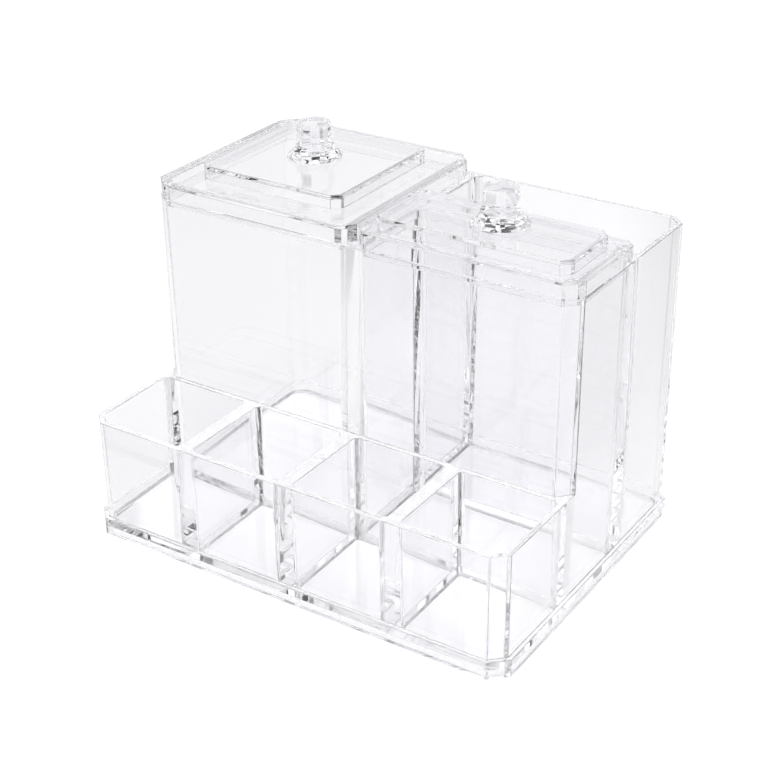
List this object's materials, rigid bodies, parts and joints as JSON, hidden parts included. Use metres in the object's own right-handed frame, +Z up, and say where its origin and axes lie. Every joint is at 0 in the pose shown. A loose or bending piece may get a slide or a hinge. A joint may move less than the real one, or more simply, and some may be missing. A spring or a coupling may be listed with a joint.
{
  "type": "cosmetics organiser",
  "caption": "Clear organiser for cotton pads, swabs and make-up: a row of low open pockets in front of tall pockets, with lift-off lids that carry faceted knobs.",
  "frame": {"origin": "centre of the base's rectangle, on the plane it stands on", "axes": "+X to the right along the width, +Y from the low front row to the back, +Z up"},
  "size_m": [0.1934, 0.1436, 0.1569],
  "materials": {
    "body": "clear polished",
    "lids": "clear polished",
    "knobs": "clear polished"
  },
  "bodies": {
    "organiser": {"organiser_body": "body"},
    "left_lid": {"left_lid": "lids", "left_knob": "knobs"},
    "right_lid": {"right_lid": "lids", "right_knob": "knobs"}
  },
  "joints": [
    {"name": "left_lid_lift", "type": "slide", "parent": "organiser", "child": "left_lid", "axis": [0, 0, 1], "range_m": [0, 0.06]},
    {"name": "right_lid_lift", "type": "slide", "parent": "organiser", "child": "right_lid", "axis": [0, 0, 1], "range_m": [0, 0.06]}
  ]
}
